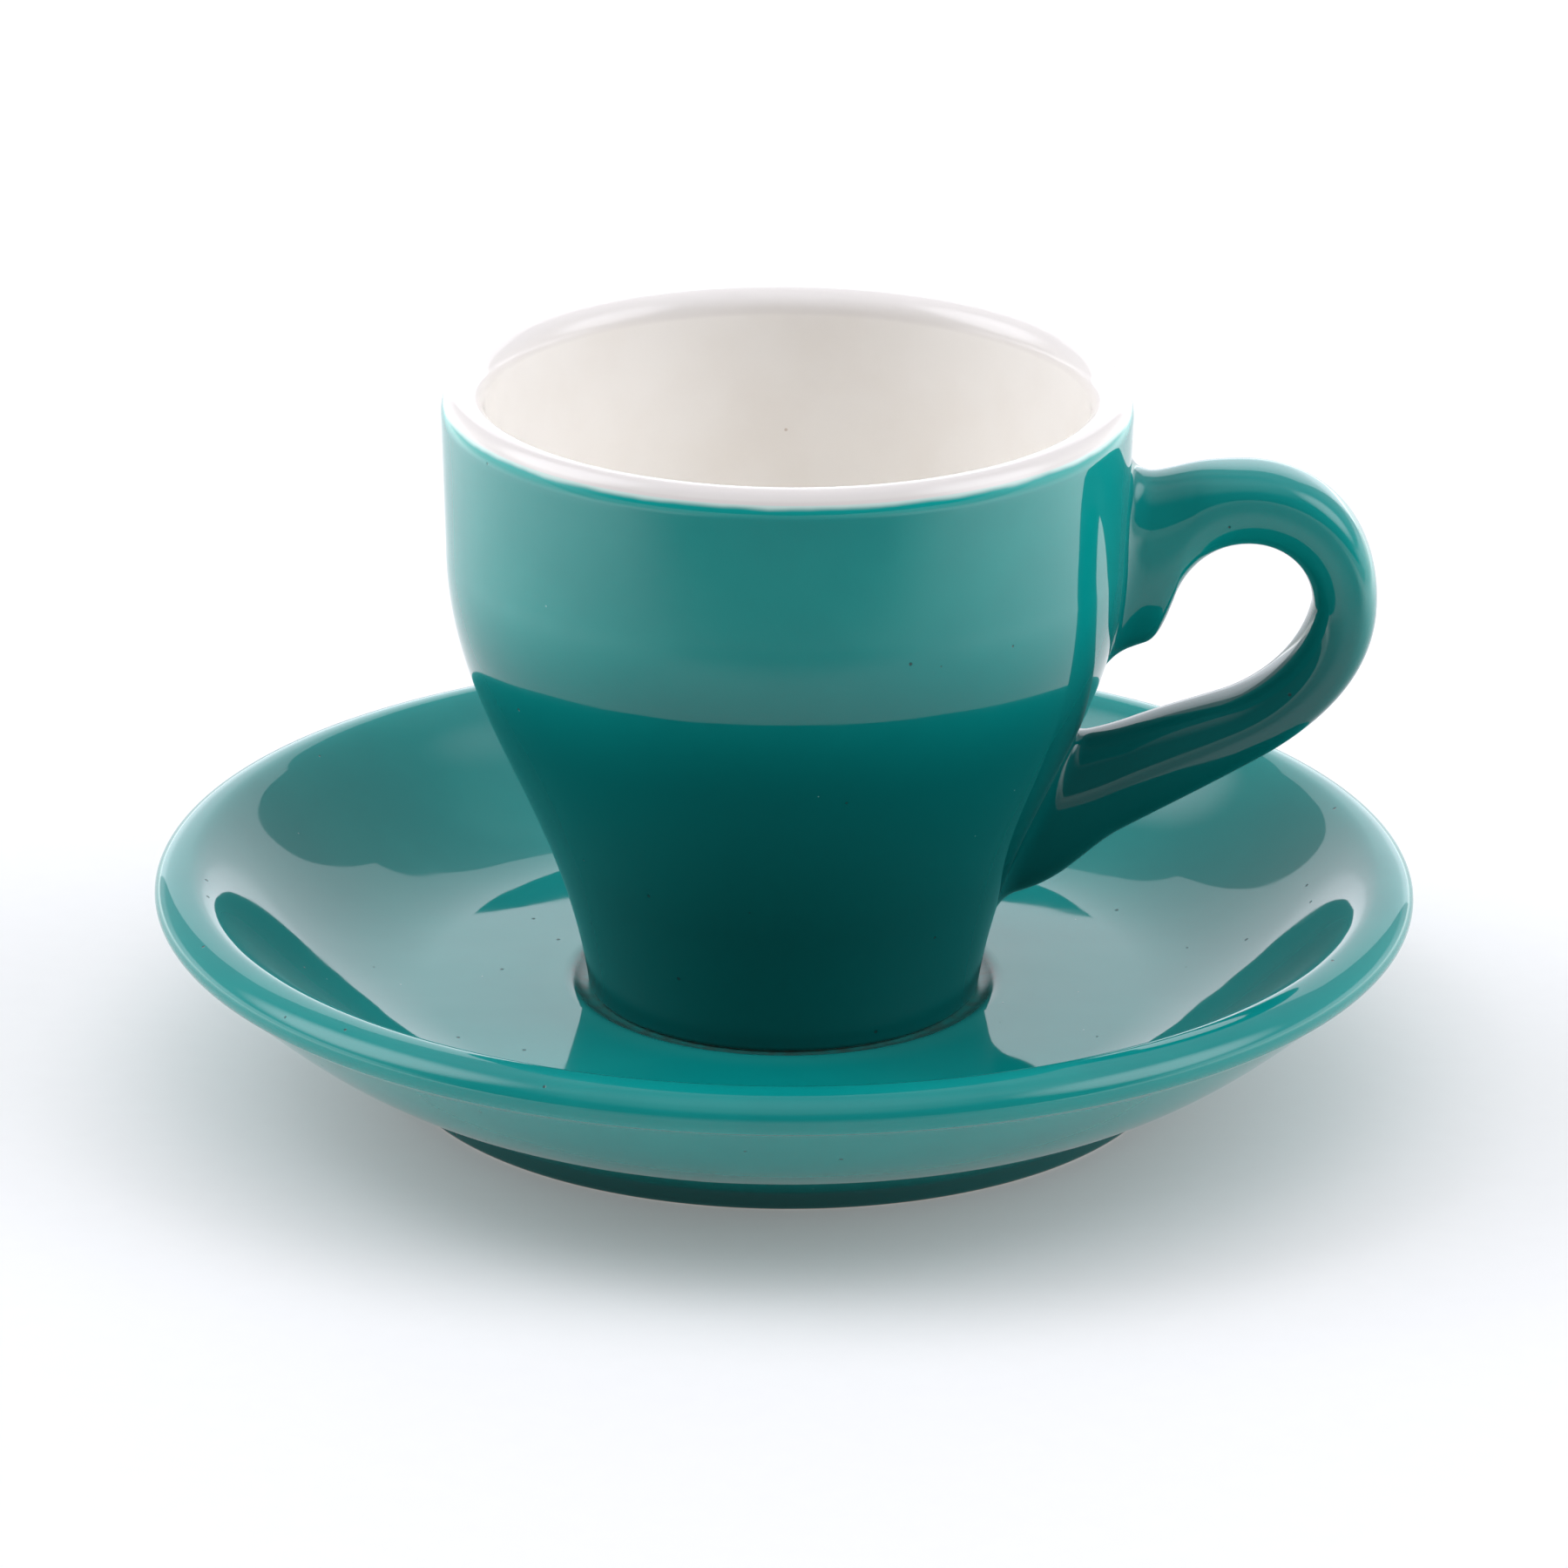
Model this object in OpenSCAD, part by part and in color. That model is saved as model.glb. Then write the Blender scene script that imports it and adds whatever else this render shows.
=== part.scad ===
// Espresso cup standing in the well of its saucer.
// The cup is cast clay, white inside and teal outside, with a handle that is cast by itself and stuck on
// with liquid clay. +Z is up, the saucer's foot stands on z = 0 and the handle points along +X.

/* [Saucer] */
// Diameter over the rim
saucer_d = 120; // [110:1:140]
// Height of the rim's crest above the table
saucer_h = 20.5; // [18:0.1:25]
// Height of the dish floor above the table
saucer_floor_h = 8.6; // [8:0.1:10]
// Diameter of the flat part of the dish floor
saucer_floor_d = 68; // [60:1:74]
// Outer diameter of the foot ring
saucer_foot_d = 74.4; // [66:0.2:82]
// Width of the foot ring's standing face and its two rounded edges
saucer_foot_w = 4.2; // [3:0.1:6]
// Height of the foot ring outside, up to the bowl
saucer_foot_h = 1.8; // [1.4:0.1:2.6]
// Depth of the recess inside the foot ring
saucer_recess = 3.2; // [2:0.1:4]
// Width of the rounded rim outside its crest
rim_out_w = 3.2; // [2.4:0.1:4]
// Drop from the rim's crest to its widest line
rim_drop = 2.2; // [1.6:0.1:3]
// Width of the small ledge between the underside and the rim
rim_ledge = 0.7; // [0.4:0.1:1.2]
// Depth of the well that takes the cup's foot
well_depth = 0.4; // [0.2:0.1:0.8]
// Gap all round between the cup's foot and the well
well_gap = 1; // [0.5:0.1:2]
// Width of the rounded step round the well
well_step = 1.4; // [1:0.1:3]

/* [Cup] */
// Diameter over the mouth
cup_mouth_d = 65; // [58:0.5:74]
// Height from the foot to the lip
cup_h = 60; // [54:0.5:70]
// Diameter of the wall just above the foot
cup_foot_d = 37.4; // [33:0.2:42]
// Height at which the wall becomes upright
shoulder_h = 44.6; // [40:0.2:48]
// How far the upright wall leans in from the mouth down to the shoulder
shoulder_in = 0.4; // [0:0.1:1]
// Lean of the wall where it leaves the foot, in degrees
foot_flare = 8.5; // [4:0.5:14]
// Thickness of the upright wall
cup_wall = 4; // [3:0.1:5]
// Height of the inside floor above the standing face
cup_floor_h = 5.6; // [4.6:0.1:7]
// Width of the foot ring's standing face and its two rounded edges
cup_foot_w = 3.4; // [2.6:0.1:5]
// Depth of the recess inside the foot ring
cup_recess = 1.4; // [1:0.1:2]
// Width of the lip's rounding outside its crest
lip_out_w = 1.7; // [1.2:0.1:2]
// Drop of the lip's rounding outside its crest
lip_out_drop = 2.6; // [1.6:0.1:3.2]
// Drop of the lip's rounding inside its crest
lip_in_drop = 2.4; // [1.6:0.1:3.2]

/* [Handle] */
// How far the handle stands out from the wall
handle_reach = 23.8; // [19:0.2:28]
// Height of the handle's top above the cup's foot
handle_top_h = 52.5; // [48:0.1:54]
// Height of the handle's lowest point above the cup's foot
handle_low_h = 8.4; // [6:0.2:12]
// Width of the handle from side to side
handle_w = 8.6; // [7:0.1:11]
// Extra width of the handle where it meets the wall
root_flare = 2.4; // [0:0.1:4]

/* [Clay and glaze] */
// Thickness of the glaze coats
glaze_t = 0.4; // [0.2:0.05:0.6]
// Thickness of the liquid clay between the handle and the wall
slip_t = 0.8; // [0.4:0.1:1.2]
// Radius of the rounded edges of the bare standing faces
foot_edge_r = 0.6; // [0.4:0.1:0.9]

/* [Hidden] */

teal = "#1c8584";
white = "#f1ece4";
clay = "#ddd5c6";

turn_steps = 120;
curve_steps = 14;
arc_steps = 6;

// Radii and heights that follow from the sizes above
rim_r = saucer_d / 2;
crest_r = rim_r - rim_out_w;
saucer_foot_r = saucer_foot_d / 2;
saucer_floor_r = saucer_floor_d / 2;
cup_foot_r = cup_foot_d / 2;
well_r = cup_foot_r + well_gap;
seat_h = saucer_floor_h - well_depth;
mouth_r = cup_mouth_d / 2;
shoulder_r = mouth_r - shoulder_in;
lip_crest_r = mouth_r - lip_out_w;
bore_r = mouth_r - cup_wall;

// Pulls of the curves' ends, as shares of what each curve spans
foot_pull_share = 0.44;
shoulder_pull_share = 0.37;
bore_pull_share = 0.49;
bowl_pull_share = 0.5;
dish_rim_pull_share = 0.16;
dish_floor_pull_share = 0.55;
underside_pull_share = 0.5;
underside_sag_share = 0.06;
step_pull_share = 0.5;

// Angle at which the ledge below leaves the rim's rounding
rim_ledge_angle = -35;
// Angle down from the lip's crest at which the white glaze ends outside
lip_line_angle = 25;

function unit(v) = v / norm(v);

function curve(a, b, c, d, steps) = [
    for (i = [0 : steps])
        let (t = i / steps, s = 1 - t)
        s * s * s * a + 3 * s * s * t * b + 3 * s * t * t * c + t * t * t * d
];

function arc(centre, radii, from, to, steps) = [
    for (i = [0 : steps])
        let (angle = from + (to - from) * i / steps)
        centre + [radii[0] * cos(angle), radii[1] * sin(angle)]
];

function without_first(path) = [for (i = [1 : len(path) - 1]) path[i]];

function backwards(path) = [for (i = [len(path) - 1 : -1 : 0]) path[i]];

function last(path) = path[len(path) - 1];

// Direction of a path at one of its points
function along(path, i) =
    let (ahead = i < len(path) - 1 ? unit(path[i + 1] - path[i]) : [0, 0],
         behind = i > 0 ? unit(path[i] - path[i - 1]) : [0, 0])
    unit(ahead + behind);

// The path moved to its left, which is into the clay
function inset(path, depth) = [
    for (i = [0 : len(path) - 1])
        let (way = along(path, i))
        path[i] + depth * [-way[1], way[0]]
];

// Foot rings: the glazed recess inside a ring, and the ring's bare standing face
function recess_path(foot_r, foot_w, recess) =
    let (inner_r = foot_r - foot_w)
    concat(
        [[0, recess]],
        arc([inner_r - foot_edge_r, recess - foot_edge_r], [foot_edge_r, foot_edge_r], 90, 0, arc_steps),
        [[inner_r, foot_edge_r]]
    );

function standing_path(foot_r, foot_w) =
    let (inner_r = foot_r - foot_w, radii = [foot_edge_r, foot_edge_r])
    concat(
        arc([inner_r + foot_edge_r, foot_edge_r], radii, 180, 270, arc_steps),
        arc([foot_r - foot_edge_r, foot_edge_r], radii, -90, 0, arc_steps)
    );

// Saucer: the glazed surface from the foot ring round the rim to the middle of the well
bowl_start = [saucer_foot_r + foot_edge_r, saucer_foot_h + foot_edge_r / 2];
rim_centre = [crest_r, saucer_h - rim_drop];
rim_ledge_point = rim_centre + [rim_out_w * cos(rim_ledge_angle), rim_drop * sin(rim_ledge_angle)];
bowl_end = rim_ledge_point - [rim_ledge, rim_ledge / 2];
bowl_span = bowl_end - bowl_start;
bowl_sag = underside_sag_share * [bowl_span[1], -bowl_span[0]];
underside_path = curve(
    bowl_start,
    bowl_start + underside_pull_share * bowl_span + bowl_sag,
    bowl_end - underside_pull_share * bowl_span + bowl_sag,
    bowl_end,
    curve_steps
);
rim_path = concat(
    arc(rim_centre, [rim_out_w, rim_drop], rim_ledge_angle, 0, arc_steps),
    without_first(arc(rim_centre, [rim_out_w, rim_drop], 0, 90, arc_steps))
);
dish_start = [crest_r, saucer_h];
dish_end = [saucer_floor_r, saucer_floor_h];
dish_run = crest_r - saucer_floor_r;
dish_path = curve(
    dish_start,
    dish_start - [dish_rim_pull_share * dish_run, 0],
    dish_end + [dish_floor_pull_share * dish_run, 0],
    dish_end,
    curve_steps
);
step_start = [well_r + well_step, saucer_floor_h];
step_end = [well_r, seat_h];
step_pull = [step_pull_share * well_step, 0];
well_path = curve(step_start, step_start - step_pull, step_end + step_pull, step_end, arc_steps);
saucer_path = concat(
    [[saucer_foot_r, foot_edge_r], [saucer_foot_r, saucer_foot_h]],
    underside_path,
    rim_path,
    without_first(dish_path),
    well_path,
    [[0, seat_h]]
);
saucer_recess_path = recess_path(saucer_foot_r, saucer_foot_w, saucer_recess);
saucer_standing_path = standing_path(saucer_foot_r, saucer_foot_w);

// Cup: the wall from the foot to the lip, and the lining from the lip to the middle of the floor
wall_start = [cup_foot_r, foot_edge_r];
wall_end = [shoulder_r, shoulder_h];
wall_rise = shoulder_h - foot_edge_r;
wall_path = concat(
    curve(
        wall_start,
        wall_start + foot_pull_share * wall_rise * [tan(foot_flare), 1],
        wall_end - [0, shoulder_pull_share * wall_rise],
        wall_end,
        curve_steps
    ),
    [[mouth_r, cup_h - lip_out_drop]]
);
lip_centre = [lip_crest_r, cup_h - lip_out_drop];
lip_radii = [lip_out_w, lip_out_drop];
outside_path = concat(wall_path, without_first(arc(lip_centre, lip_radii, 0, lip_line_angle, arc_steps)));
bore_top = [bore_r, cup_h - lip_in_drop];
bore_foot = [bore_r - shoulder_in, shoulder_h];
bowl_depth = shoulder_h - cup_floor_h;
lining_path = concat(
    arc(lip_centre, lip_radii, lip_line_angle, 90, arc_steps),
    without_first(arc([lip_crest_r, bore_top[1]], [lip_crest_r - bore_r, lip_in_drop], 90, 180, arc_steps)),
    curve(
        bore_foot,
        bore_foot - [0, bore_pull_share * bowl_depth],
        [bowl_pull_share * bore_r, cup_floor_h],
        [0, cup_floor_h],
        curve_steps
    )
);
cup_path = concat(outside_path, without_first(lining_path));
cup_clay_path = inset(cup_path, glaze_t);
outside_count = len(outside_path);
cup_recess_path = recess_path(cup_foot_r, cup_foot_w, cup_recess);
cup_standing_path = standing_path(cup_foot_r, cup_foot_w);

// Radius of the cup's wall at a height above its foot
function wall_radius(height) = lookup(height, [for (p = wall_path) [p[1], p[0]]]);

// Handle: the outer and the inner edge of its side view, each a chain of curves from the upper root to the
// lower one. Every point is [out, up]: a share of the reach, out from the wall at that height, and a share
// of the height between the handle's lowest point and its top.
outer_edge_shares = [
    [-0.13, 0.985], [-0.04, 0.99], [0.04, 0.975],
    [0.1, 0.977], [0.15, 0.98], [0.2, 0.99],
    [0.26, 0.995], [0.32, 1], [0.38, 1],
    [0.45, 1], [0.74, 1], [0.99, 0.885],
    [1.01, 0.7], [1.085, 0.545], [0.965, 0.433],
    [0.785, 0.351], [0.635, 0.284], [0.485, 0.228],
    [0.355, 0.175], [0.235, 0.122], [0.22, 0.033],
    [-0.08, 0.02]
];
inner_edge_shares = [
    [-0.09, 0.52], [-0.03, 0.56], [0.05, 0.585],
    [0.125, 0.6], [0.165, 0.607], [0.18, 0.63],
    [0.195, 0.69], [0.225, 0.78], [0.34, 0.828],
    [0.48, 0.828], [0.62, 0.828], [0.74, 0.77],
    [0.758, 0.688], [0.77, 0.595], [0.68, 0.512],
    [0.52, 0.478], [0.42, 0.458], [0.32, 0.442],
    [0.22, 0.417], [0.13, 0.394], [0.02, 0.382],
    [-0.09, 0.37]
];
edge_curves = (len(outer_edge_shares) - 1) / 3;
edge_steps = 5;
ring_points = 20;
// How far the widest line of a cross-section moves from its middle towards the outer edge, from the upper
// root down to the lower one, as a share of half its depth
crown_share = 0.45;
// How full a cross-section is: 1 gives half ellipses, and less makes its faces flatter and its edges tighter
section_power = 0.74;

function edge_point(share) =
    let (height = handle_low_h + share[1] * (handle_top_h - handle_low_h))
    [wall_radius(height) + share[0] * handle_reach, height];

function edge_path(shares) =
    let (points = [for (share = shares) edge_point(share)])
    concat(
        [points[0]],
        [
            for (k = [0 : edge_curves - 1])
                each without_first(
                    curve(points[3 * k], points[3 * k + 1], points[3 * k + 2], points[3 * k + 3], edge_steps)
                )
        ]
    );

outer_edge = edge_path(outer_edge_shares);
inner_edge = edge_path(inner_edge_shares);
ring_count = len(outer_edge);

// Half the handle's width at a ring, wider over the first and the last curve of the chain
function half_width(ring) =
    let (from_root = min(ring, ring_count - 1 - ring) / edge_steps, near_root = max(0, 1 - from_root))
    (handle_w + root_flare * near_root * near_root) / 2;

function full(part) = sign(part) * pow(abs(part), section_power);

// One cross-section of the handle: half a full ellipse out to each of the two edges from its widest line
function handle_ring(ring) =
    let (outer = outer_edge[ring],
         inner = inner_edge[ring],
         half_depth = norm(outer - inner) / 2,
         widest = crown_share * half_depth * ring / (ring_count - 1))
    [
        for (i = [0 : ring_points - 1])
            let (angle = 360 * i / ring_points,
                 deep = widest + full(cos(angle)) * (half_depth - sign(cos(angle)) * widest),
                 place = (outer + inner) / 2 + deep * unit(outer - inner))
            [place[0], half_width(ring) * full(sin(angle)), place[1]]
    ];

// The handle with both ends running on into the wall
module handle_blank() {
    points = [for (ring = [0 : ring_count - 1]) each handle_ring(ring)];
    sides = [
        for (ring = [0 : ring_count - 2])
            for (i = [0 : ring_points - 1])
                let (a = ring * ring_points + i,
                     b = ring * ring_points + (i + 1) % ring_points)
                each [[a, b, b + ring_points], [a, b + ring_points, a + ring_points]]
    ];
    last_ring = (ring_count - 1) * ring_points;
    ends = [
        for (i = [1 : ring_points - 2])
            each [[0, i + 1, i], [last_ring, last_ring + i, last_ring + i + 1]]
    ];
    translate([0, 0, seat_h])
        polyhedron(points, concat(sides, ends));
}

// Everything inside the cup's outer wall, grown by the thickness of the liquid clay
module wall_and_slip() {
    grown = inset(wall_path, -slip_t);
    translate([0, 0, seat_h])
        rotate_extrude($fn = turn_steps)
            polygon(concat([[0, grown[0][1]]], grown, [[0, last(grown)[1]]]));
}

// The layer of liquid clay over one stretch of the wall
module slip_layer(stretch) {
    translate([0, 0, seat_h])
        rotate_extrude($fn = turn_steps)
            polygon(concat(inset(stretch, -slip_t), backwards(inset(stretch, glaze_t))));
}

// A coat of glaze over a path, down to the clay
module coat(path, clay_path) {
    rotate_extrude($fn = turn_steps)
        polygon(concat(path, backwards(clay_path)));
}

module saucer_body() {
    color(clay)
        rotate_extrude($fn = turn_steps)
            polygon(concat(
                inset(saucer_recess_path, glaze_t),
                saucer_standing_path,
                inset(saucer_path, glaze_t)
            ));
}

module saucer_glaze() {
    color(teal) {
        coat(saucer_path, inset(saucer_path, glaze_t));
        coat(saucer_recess_path, inset(saucer_recess_path, glaze_t));
    }
}

module cup_body() {
    color(clay)
        translate([0, 0, seat_h])
            rotate_extrude($fn = turn_steps)
                polygon(concat(
                    inset(cup_recess_path, glaze_t),
                    cup_standing_path,
                    cup_clay_path
                ));
}

module cup_lining() {
    clay_side = [for (i = [outside_count - 1 : len(cup_path) - 1]) cup_clay_path[i]];
    color(white)
        translate([0, 0, seat_h])
            coat(lining_path, clay_side);
}

module cup_glaze() {
    clay_side = [for (i = [0 : outside_count - 1]) cup_clay_path[i]];
    color(teal)
        difference() {
            translate([0, 0, seat_h]) {
                coat(outside_path, clay_side);
                coat(cup_recess_path, inset(cup_recess_path, glaze_t));
            }
            handle_blank();
        }
}

module handle() {
    color(teal)
        difference() {
            handle_blank();
            wall_and_slip();
        }
}

// Height that parts the two roots of the handle, halfway between their inner ends
root_split_h = (inner_edge[0][1] + last(inner_edge)[1]) / 2;

module upper_handle_slip() {
    color(clay)
        intersection() {
            handle_blank();
            slip_layer([for (p = wall_path) if (p[1] > root_split_h) p]);
        }
}

module lower_handle_slip() {
    color(clay)
        intersection() {
            handle_blank();
            slip_layer([for (p = wall_path) if (p[1] < root_split_h) p]);
        }
}

saucer_body();
saucer_glaze();
cup_body();
cup_lining();
cup_glaze();
handle();
upper_handle_slip();
lower_handle_slip();
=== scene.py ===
import math

import bpy
import numpy as np
from mathutils import Matrix, Vector


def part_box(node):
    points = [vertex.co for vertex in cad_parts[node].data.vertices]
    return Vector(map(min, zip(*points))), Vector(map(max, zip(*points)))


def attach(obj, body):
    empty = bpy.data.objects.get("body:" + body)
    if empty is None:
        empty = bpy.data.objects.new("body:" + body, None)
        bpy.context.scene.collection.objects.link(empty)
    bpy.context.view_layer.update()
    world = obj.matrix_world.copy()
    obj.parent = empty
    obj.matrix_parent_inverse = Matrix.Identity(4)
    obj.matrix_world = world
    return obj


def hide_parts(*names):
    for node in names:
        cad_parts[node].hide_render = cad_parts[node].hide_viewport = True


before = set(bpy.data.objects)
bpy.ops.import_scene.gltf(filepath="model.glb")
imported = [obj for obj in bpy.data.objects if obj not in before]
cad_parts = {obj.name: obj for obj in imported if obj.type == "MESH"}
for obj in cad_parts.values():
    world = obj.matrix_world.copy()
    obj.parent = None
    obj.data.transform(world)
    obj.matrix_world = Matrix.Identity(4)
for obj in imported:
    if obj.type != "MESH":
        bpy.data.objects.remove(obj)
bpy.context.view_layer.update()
MM = 0.001


# Saucer body
# The saucer is pressed from a pale stoneware clay. Glaze hides nearly all of it: only the face of its
# foot ring stays bare, ground flat after firing and marked grey by the tables it has stood on.

saucer_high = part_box("saucer_glaze")[1]
rim_r = saucer_high.x / MM
saucer_h = saucer_high.z / MM
seat_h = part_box("cup_body")[0].z / MM
saucer_floor_h = 8.6
saucer_floor_r = 34
saucer_foot_r = 37.2
saucer_foot_w = 4.2
saucer_foot_h = 1.8
saucer_recess = 3.2
rim_out_w = 3.2
rim_drop = 2.2
rim_ledge = 0.7
rim_ledge_angle = -35
well_r = 18.8
well_step = 2.3
glaze_t = 0.4
foot_edge_r = 0.6
foot_glaze_angle = -50
floor_slope = -0.012
bowl_sag_share = 0.06
dish_rim_pull = 0.16
dish_floor_pull = 0.55
saucer_warp = 0.12
saucer_warp_turn = 0.7
turn_steps = 240
tiny = 1e-6
crease_angle = 50
bulge_rounds = 6


def curve(start, start_pull, end_pull, end, steps):
    t = np.linspace(0, 1, steps + 1)[:, None]
    points = [np.array(p, float) for p in (start, start_pull, end_pull, end)]
    weights = ((1 - t) ** 3, 3 * (1 - t) ** 2 * t, 3 * (1 - t) * t**2, t**3)
    return sum(w * p for w, p in zip(weights, points))


def arc(centre, radii, start, end, steps):
    angles = np.radians(np.linspace(start, end, steps + 1))
    return np.array(centre) + np.array(radii) * np.stack([np.cos(angles), np.sin(angles)], 1)


def line(start, end, steps):
    return np.linspace(start, end, steps + 1)


def joined(*stretches):
    """One path from stretches that follow each other, without the points that they share."""
    points = np.concatenate([np.array(s, float) for s in stretches])
    apart = np.linalg.norm(np.diff(points, axis=0), axis=1) > tiny
    return points[np.concatenate([[True], apart])]


def inset(path, depth):
    """The path moved to its left, which is from the glaze's face down to the clay."""
    way = np.gradient(path, axis=0)
    way /= np.linalg.norm(way, axis=1)[:, None]
    moved = path + depth * np.stack([-way[:, 1], way[:, 0]], 1)
    moved[path[:, 0] < tiny, 0] = 0
    return moved


def recess_path(foot_r, foot_w, recess):
    """The glazed hollow inside a foot ring, from the axis to the ring's bare edge."""
    inner_r = foot_r - foot_w
    corner = arc([inner_r - foot_edge_r, recess - foot_edge_r], [foot_edge_r, foot_edge_r], 90, 0, 6)
    return joined(line([0, recess], corner[0], 12), corner, line(corner[-1], [inner_r, foot_edge_r], 4))


def foot_edge(foot_r, start, end):
    """A stretch of the rounded outer edge of a foot ring."""
    return arc([foot_r - foot_edge_r, foot_edge_r], [foot_edge_r, foot_edge_r], start, end, 8)


def standing_path(foot_r, foot_w, glaze_angle):
    """The bare standing face of a foot ring, from its inner edge to where the glaze starts outside."""
    inner_edge = arc([foot_r - foot_w + foot_edge_r, foot_edge_r], [foot_edge_r, foot_edge_r], 180, 270, 8)
    return joined(inner_edge, foot_edge(foot_r, -90, glaze_angle))


def mesh_object(name, points, faces):
    """A smooth-shaded object from points in millimetres, with how strongly each point bulges."""
    mesh = bpy.data.meshes.new(name)
    mesh.from_pydata((np.array(points) * MM).tolist(), [], faces)
    mesh.validate()
    mesh.update()
    mesh.polygons.foreach_set("use_smooth", [True] * len(mesh.polygons))
    mesh.set_sharp_from_angle(angle=math.radians(crease_angle))
    made = bpy.data.objects.new(name, mesh)
    bpy.context.scene.collection.objects.link(made)
    mark_bulge(mesh)
    return made


def mark(mesh, name, values):
    """Stores one number for each point of a mesh under a name that a material can read."""
    stored = mesh.attributes.new(name, "FLOAT", "POINT")
    stored.data.foreach_set("value", np.array(values, np.float32))


def point_places(mesh):
    """The points of a mesh, in millimetres."""
    places = np.empty(len(mesh.vertices) * 3)
    mesh.vertices.foreach_get("co", places)
    return places.reshape(-1, 3) / MM


def mark_bulge(mesh):
    """Stores each point's curvature in 1/mm as "bulge": above 0 on edges, below 0 in hollows."""
    count = len(mesh.vertices)
    normals = np.empty(count * 3)
    ends = np.empty(len(mesh.edges) * 2, int)
    mesh.vertices.foreach_get("normal", normals)
    mesh.edges.foreach_get("vertices", ends)
    points = point_places(mesh)
    normals = normals.reshape(-1, 3)
    a, b = ends.reshape(-1, 2).T
    apart = points[a] - points[b]
    square = np.maximum((apart**2).sum(1), tiny)
    share = np.bincount(a, minlength=count) + np.bincount(b, minlength=count)
    bend = np.bincount(a, (normals[a] * apart).sum(1) * 2 / square, count)
    bend += np.bincount(b, -(normals[b] * apart).sum(1) * 2 / square, count)
    bend = np.clip(bend / share, -1, 1)
    for _ in range(bulge_rounds):
        spread = np.bincount(a, bend[b], count) + np.bincount(b, bend[a], count)
        bend = 0.5 * bend + 0.5 * spread / share
    mark(mesh, "bulge", bend)


def lathe(name, outline, sway):
    """Turns a closed outline of [radius, height] points about the axis. Sway gives how far each point of a
    turn stands out of true, as [radius, height], because clay warps a little in the kiln."""
    angles = np.linspace(0, 2 * math.pi, turn_steps, endpoint=False)
    points = []
    rows = []
    for radius, height in outline:
        turns = angles if radius > tiny else angles[:1]
        start = len(points)
        out, up = sway(radius, height, turns)
        swayed = radius + out
        points += np.stack([swayed * np.cos(turns), swayed * np.sin(turns), height + up], 1).tolist()
        rows.append([start + (i if radius > tiny else 0) for i in range(turn_steps)])
    faces = []
    for low, high in zip(rows, rows[1:] + rows[:1]):
        for i in range(turn_steps):
            j = (i + 1) % turn_steps
            corners = list(dict.fromkeys((low[i], low[j], high[j], high[i])))
            if len(corners) > 2:
                faces.append(corners)
    return mesh_object(name, points, faces)


def saucer_sway(radius, height, turns):
    """The rim is warped a little, higher at two opposite sides than between them."""
    share = max(0, (radius - saucer_foot_r) / (rim_r - saucer_foot_r)) ** 2
    return 0 * turns, share * saucer_warp * (np.cos(2 * turns + saucer_warp_turn) - 1) / 2


bowl_start = np.array([saucer_foot_r + foot_edge_r, saucer_foot_h + foot_edge_r / 2])
rim_centre = np.array([rim_r - rim_out_w, saucer_h - rim_drop])
rim = joined(
    arc(rim_centre, [rim_out_w, rim_drop], rim_ledge_angle, 0, 14),
    arc(rim_centre, [rim_out_w, rim_drop], 0, 90, 24),
)
bowl_end = rim[0] - [rim_ledge, rim_ledge / 2]
bowl_span = bowl_end - bowl_start
bowl_sag = bowl_sag_share * np.array([bowl_span[1], -bowl_span[0]])
bowl_middle = bowl_start + bowl_span / 2 + bowl_sag
underside = curve(bowl_start, bowl_middle, bowl_middle, bowl_end, 40)
dish_start = rim[-1]
dish_end = np.array([saucer_floor_r, saucer_floor_h])
dish_run = dish_start[0] - dish_end[0]
floor_way = np.array([1, floor_slope])
dish = curve(
    dish_start,
    dish_start - [dish_rim_pull * dish_run, 0],
    dish_end + dish_floor_pull * dish_run * floor_way,
    dish_end,
    70,
)
step_start = dish_end - (saucer_floor_r - well_r - well_step) * floor_way
step_end = np.array([well_r, seat_h])
step_pull = np.array([well_step / 2, 0])
well = curve(step_start, step_start - step_pull, step_end + step_pull, step_end, 14)
saucer_path = joined(
    foot_edge(saucer_foot_r, foot_glaze_angle, 0),
    line([saucer_foot_r, foot_edge_r], [saucer_foot_r, saucer_foot_h], 4),
    underside,
    rim,
    dish,
    line(dish_end, step_start, 8),
)
well_path = joined(well, line(step_end, [0, seat_h], 40))
saucer_recess_path = recess_path(saucer_foot_r, saucer_foot_w, saucer_recess)
saucer_clay = lathe(
    "saucer_clay",
    np.concatenate([
        inset(saucer_recess_path, glaze_t),
        standing_path(saucer_foot_r, saucer_foot_w, foot_glaze_angle),
        inset(joined(saucer_path, well_path), glaze_t),
    ]),
    saucer_sway,
)


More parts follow.
